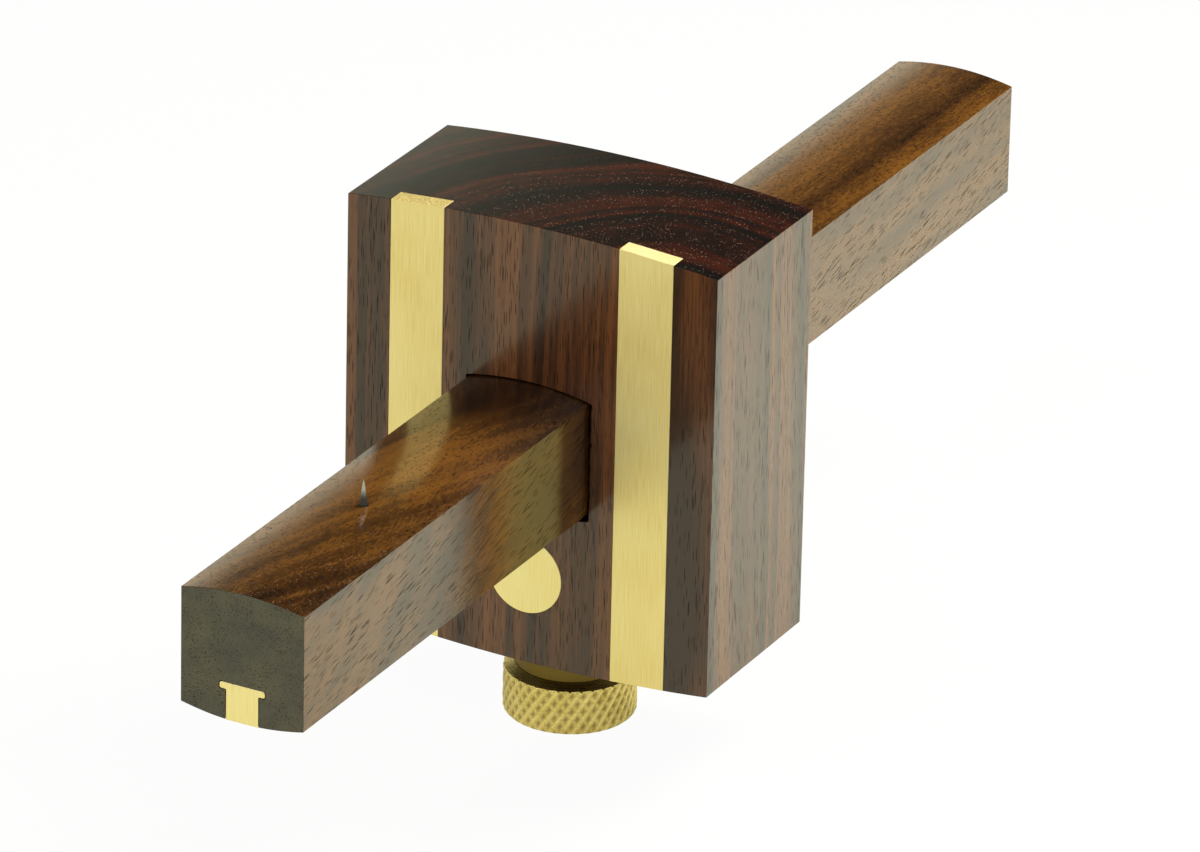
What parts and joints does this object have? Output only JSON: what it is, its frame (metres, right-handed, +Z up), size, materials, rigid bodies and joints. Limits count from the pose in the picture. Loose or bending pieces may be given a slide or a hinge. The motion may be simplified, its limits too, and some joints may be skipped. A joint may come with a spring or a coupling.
{
  "type": "mortise gauge",
  "caption": "Wooden mortise gauge: a brass-faced stock slides on a crowned stem with a marking pin above, mortise pins below, and is clamped by a knurled thumbscrew.",
  "frame": {"origin": "on the stem's axis, in the plane of the stock's working face", "axes": "+Y along the stem away from the pins, +X to the right seen from the pins' end, +Z up, with the thumbscrew below"},
  "size_m": [0.064, 0.2325, 0.0877],
  "materials": {
    "stock_wood": "dark rosewood, clear satin finish",
    "stem_wood": "brown rosewood, clear satin finish",
    "brass": "finely brushed",
    "turned_brass": "turned and knurled",
    "pin_steel": "ground"
  },
  "bodies": {
    "stock": {"stock": "stock_wood", "face_strip_left": "brass", "face_strip_right": "brass", "strip_studs": "brass", "barrel_nut": "brass"},
    "stem": {"stem": "stem_wood", "marking_pin": "pin_steel", "pin_plate": "brass", "plate_screws": "brass", "fixed_mortise_pin": "pin_steel"},
    "slide": {"pin_slide": "brass", "sliding_mortise_pin": "pin_steel", "slide_pull": "turned_brass"},
    "shoe": {"pressure_shoe": "brass"},
    "thumbscrew": {"thumbscrew": "turned_brass"}
  },
  "joints": [
    {"name": "stem_slide", "type": "slide", "parent": "stock", "child": "stem", "axis": [0, -1, 0], "range_m": [-0.03, 0.088]},
    {"name": "slide_travel", "type": "slide", "parent": "stem", "child": "slide", "axis": [0, 1, 0], "range_m": [0, 0.016]},
    {"name": "shoe_lift", "type": "slide", "parent": "stock", "child": "shoe", "axis": [0, 0, 1], "range_m": [-0.00219, 0]},
    {"name": "thumbscrew_turn", "type": "hinge", "parent": "shoe", "child": "thumbscrew", "pos_m": [0, 0.0156, -0.0474], "axis": [0, 0, 1], "range_deg": [-631, 0]}
  ],
  "couplings": [
    {"joint": "thumbscrew_turn", "follows": "shoe_lift", "rad_per_m": 5026.5}
  ]
}
